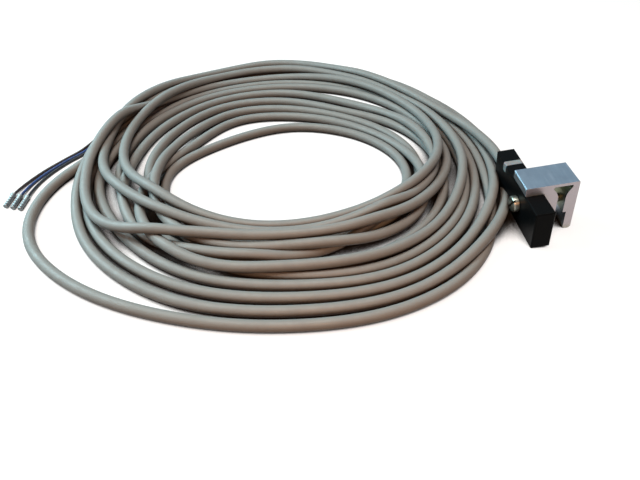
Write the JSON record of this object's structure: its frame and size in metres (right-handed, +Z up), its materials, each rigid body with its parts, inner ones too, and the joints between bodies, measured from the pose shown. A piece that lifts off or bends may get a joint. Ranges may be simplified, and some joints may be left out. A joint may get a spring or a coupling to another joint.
{
  "type": "cylinder proximity sensor",
  "caption": "Magnetic sensor for a pneumatic cylinder: slim black case with a light window, a screw-clamped aluminium rail bracket and a coiled grey cable ending in ferrules.",
  "frame": {"origin": "on the table, under the middle of the sensor and its bracket, without the cable", "axes": "+Z up from the table, +Y along the sensor's case towards the cable, +X towards the bracket's side"},
  "size_m": [0.1899, 0.1549, 0.0189],
  "materials": {
    "housing_black": "moulded black plastic with a slight gloss",
    "window_grey": "frosted translucent light guide",
    "bush_steel": "turned sleeve",
    "screw_steel": "turned stainless steel",
    "bracket_aluminium": "extruded, sawn at the ends",
    "board_green": "glass-fibre board with solder mask",
    "reed_glass": "sealed glass capsule",
    "reed_metal": "nickel-iron wire",
    "led_amber": "clear resin",
    "resistor_black": "ceramic chip",
    "diode_red": "glass-bodied diode",
    "solder": "tin solder",
    "seal_rubber": "moulded rubber",
    "cable_grey": "grey PVC with a matte skin",
    "core_brown": "extruded PVC",
    "core_blue": "extruded PVC",
    "core_black": "extruded PVC",
    "ferrule_tin": "tinned copper"
  },
  "bodies": {
    "sensor": {"housing": "housing_black", "side_cover": "housing_black", "light_window": "window_grey", "screw_bush": "bush_steel", "bracket": "bracket_aluminium", "circuit_board": "board_green", "reed_glass": "reed_glass", "reed_blade_front": "reed_metal", "reed_blade_rear": "reed_metal", "led": "led_amber", "resistor": "resistor_black", "protection_diode": "diode_red", "solder_joints": "solder", "cable_seal": "seal_rubber", "wire_brown": "core_brown", "wire_blue": "core_blue", "wire_black": "core_black", "cable_lead_in": "cable_grey", "cable_coil": "cable_grey", "cable_loop_left": "cable_grey", "cable_loop_right": "cable_grey", "cable_tail": "cable_grey", "lead_brown": "core_brown", "lead_blue": "core_blue", "lead_black": "core_black", "ferrule_brown": "ferrule_tin", "ferrule_blue": "ferrule_tin", "ferrule_black": "ferrule_tin"},
    "clamp_screw": {"clamp_screw": "screw_steel"}
  },
  "joints": [
    {"name": "clamp_screw_turn", "type": "hinge", "parent": "sensor", "child": "clamp_screw", "pos_m": [-0.0077, -0.0036, 0.00706], "axis": [-0.9894, 0, -0.1449], "range_deg": [0, 810]}
  ]
}
